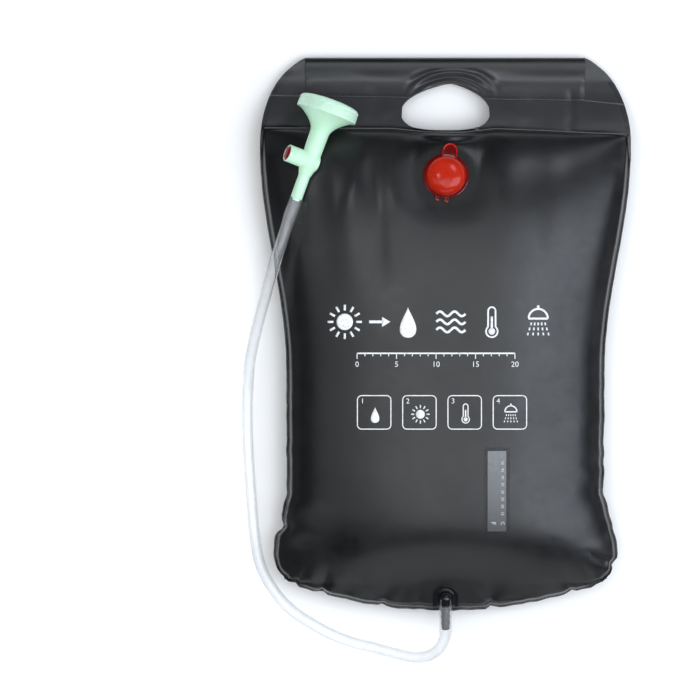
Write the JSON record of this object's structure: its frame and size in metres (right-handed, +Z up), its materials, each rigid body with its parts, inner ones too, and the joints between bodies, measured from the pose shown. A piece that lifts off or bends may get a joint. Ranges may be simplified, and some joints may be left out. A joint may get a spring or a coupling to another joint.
{
  "type": "solar shower bag",
  "caption": "Filled film water bag lying on its back, with a rod in its top edge, hand hole, hinged filler cap, temperature strip, outlet, hose and a shower head with a push-pull valve.",
  "frame": {"origin": "middle of the flat patch of the back, on the surface that the bag lies on", "axes": "+X across the bag to the right seen from the front, +Y from the outlet to the rod, +Z up out of the front film"},
  "size_m": [0.4213, 0.6556, 0.0926],
  "materials": {
    "film": "satin welded film",
    "rod_plastic": "extruded",
    "black_plastic": "gloss moulded",
    "red_cap": "gloss moulded",
    "red_strap": "soft translucent",
    "crimson_button": "satin moulded",
    "mint_plastic": "translucent moulded",
    "clear_hose": "clear flexible",
    "clear_pocket": "clear film",
    "strip": "printed film",
    "seal_rubber": "moulded"
  },
  "bodies": {
    "bag": {"front_sheet": "film", "back_sheet": "film", "rod_sleeve": "film", "handle_rod": "rod_plastic", "filler_flange": "black_plastic", "cap_strap": "red_strap", "thermometer_strip": "strip", "thermometer_window": "clear_pocket", "outlet_fitting": "black_plastic", "hose": "clear_hose", "head_body": "mint_plastic", "rose_cap": "mint_plastic"},
    "cap": {"filler_cap": "red_cap"},
    "valve": {"valve_plunger": "crimson_button", "plunger_seal_inner": "seal_rubber", "plunger_seal_outer": "seal_rubber"}
  },
  "joints": [
    {"name": "cap_hinge", "type": "hinge", "parent": "bag", "child": "cap", "pos_m": [-0.00437, 0.14485, 0.06705], "axis": [0.9863, -0.1625, 0.0287], "range_deg": [0, 110]},
    {"name": "valve_slide", "type": "slide", "parent": "bag", "child": "valve", "axis": [-0.8669, 0.3296, 0.374], "range_m": [0, 0.008]}
  ]
}
